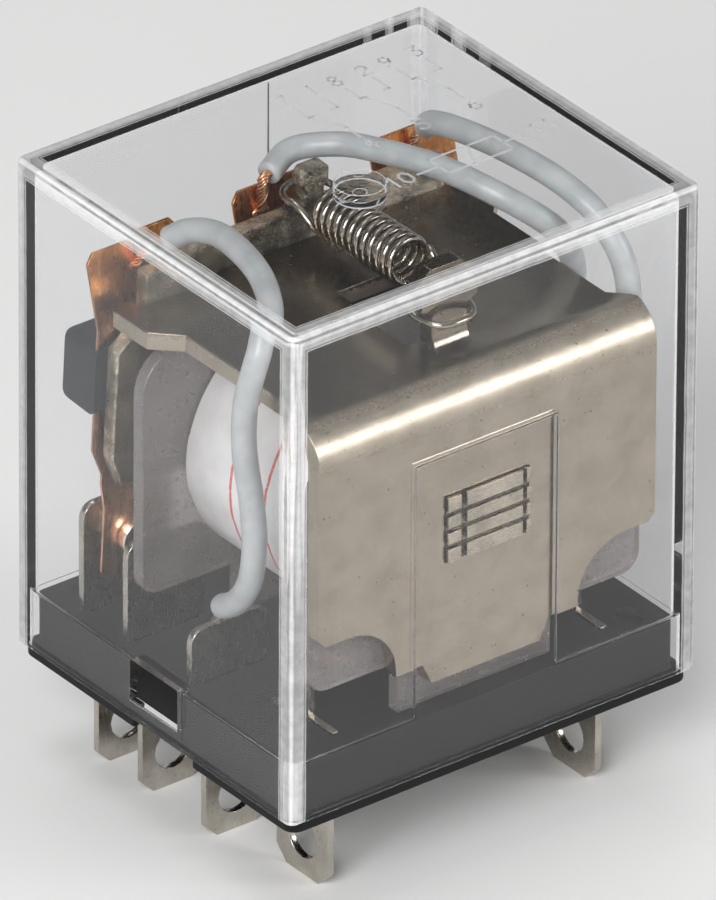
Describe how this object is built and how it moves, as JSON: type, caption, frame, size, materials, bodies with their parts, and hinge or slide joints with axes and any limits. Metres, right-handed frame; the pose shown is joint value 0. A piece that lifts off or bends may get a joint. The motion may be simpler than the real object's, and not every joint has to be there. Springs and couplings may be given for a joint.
{
  "type": "plug-in relay",
  "caption": "Plug-in power relay with changeover contact poles in a clear clip-on cover, on a black moulded base with drilled flat blades.",
  "frame": {"origin": "centre of the base's underside, the face that seats on the socket", "axes": "+Z out of the base through the cover's roof, +Y towards the fixed contacts, +X across the poles"},
  "size_m": [0.0316, 0.028, 0.0423],
  "materials": {
    "base_black": "moulded thermoset, semi-matt",
    "cover_clear": "clear polycarbonate, polished",
    "nickel_plate": "nickel-plated sheet steel, satin",
    "core_steel": "plated iron, staked end",
    "copper": "rolled copper alloy",
    "bobbin_smoke": "translucent smoke nylon",
    "magnet_wire": "enamelled copper wire",
    "coil_paper": "white wrap tape with red rules",
    "tin_plate": "tin-plated brass blade",
    "contact_silver": "silver alloy rivet",
    "insulator_grey": "dark grey moulding",
    "spring_steel": "bright spring wire",
    "lead_grey": "grey flexible lead insulation"
  },
  "bodies": {
    "root": {"base": "base_black", "cover": "cover_clear", "yoke": "nickel_plate", "core": "core_steel", "shading_ring": "copper", "bobbin": "bobbin_smoke", "coil_winding": "magnet_wire", "coil_wrap": "coil_paper", "nc_terminal_1": "tin_plate", "nc_terminal_2": "tin_plate", "nc_terminal_3": "tin_plate", "no_terminal_1": "tin_plate", "no_terminal_2": "tin_plate", "no_terminal_3": "tin_plate", "com_terminal_1": "tin_plate", "com_terminal_2": "tin_plate", "com_terminal_3": "tin_plate", "coil_terminal_1": "tin_plate", "coil_terminal_2": "tin_plate", "coil_lead_1": "magnet_wire", "coil_lead_2": "magnet_wire", "nc_contact_1": "contact_silver", "nc_contact_2": "contact_silver", "nc_contact_3": "contact_silver", "no_contact_1": "contact_silver", "no_contact_2": "contact_silver", "no_contact_3": "contact_silver", "return_spring": "spring_steel", "lead_wire_1": "lead_grey", "lead_wire_2": "lead_grey", "lead_wire_3": "lead_grey"},
    "armature": {"armature": "nickel_plate", "armature_insulator": "insulator_grey", "contact_spring_1": "copper", "contact_spring_2": "copper", "contact_spring_3": "copper", "moving_contact_1": "contact_silver", "moving_contact_2": "contact_silver", "moving_contact_3": "contact_silver"}
  },
  "joints": [
    {"name": "armature_hinge", "type": "hinge", "parent": "root", "child": "armature", "pos_m": [0, 0.0058, 0.0272], "axis": [-1, 0, 0], "range_deg": [0, 3.6], "stiffness_Nm_per_rad": 0.01, "springref_deg": -11.46, "deforming": ["return_spring"]}
  ]
}
